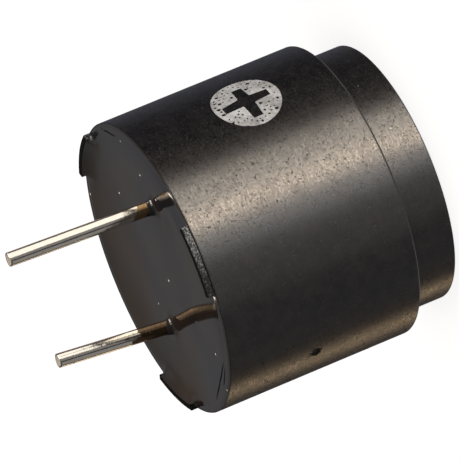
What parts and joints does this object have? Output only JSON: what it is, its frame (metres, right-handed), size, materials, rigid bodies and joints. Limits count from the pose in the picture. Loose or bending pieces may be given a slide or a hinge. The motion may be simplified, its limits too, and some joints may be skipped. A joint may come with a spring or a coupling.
{
  "type": "magnetic buzzer",
  "caption": "Round black magnetic buzzer with a stepped nose, a sound hole in its front, a base end sealed with glossy resin between low standoffs, and straight wire pins of unequal length.",
  "frame": {"origin": "centre of the front face of the nose, on the axis of the round housing; the buzzer stands on this face", "axes": "+Z along the housing axis, from the front face to the base end and the pins; +X towards the positive pin"},
  "size_m": [0.016, 0.016, 0.0215],
  "materials": {
    "case": "satin moulded black",
    "resin": "glossy cast black",
    "pin": "bright tin plate",
    "solder": "bright solder",
    "ring": "turned",
    "spring_steel": "cold rolled",
    "iron": "nickel plated",
    "ferrite": "sintered",
    "bobbin": "moulded",
    "copper": "enamelled copper wire",
    "board": "paper laminate",
    "chip": "moulded"
  },
  "bodies": {
    "root": {"housing": "case", "support_ring": "ring", "diaphragm": "spring_steel", "diaphragm_weight": "spring_steel", "pole_core": "iron", "yoke_plate": "iron", "ring_magnet": "ferrite", "bobbin": "bobbin", "drive_coil": "copper", "sense_coil": "copper", "drive_lead": "copper", "common_lead": "copper", "sense_lead": "copper", "lead_solder": "solder", "circuit_board": "board", "transistor": "chip", "diode": "chip", "resistor": "chip", "plus_pin": "pin", "minus_pin": "pin", "plus_solder": "solder", "minus_solder": "solder", "potting": "resin"}
  },
  "joints": []
}
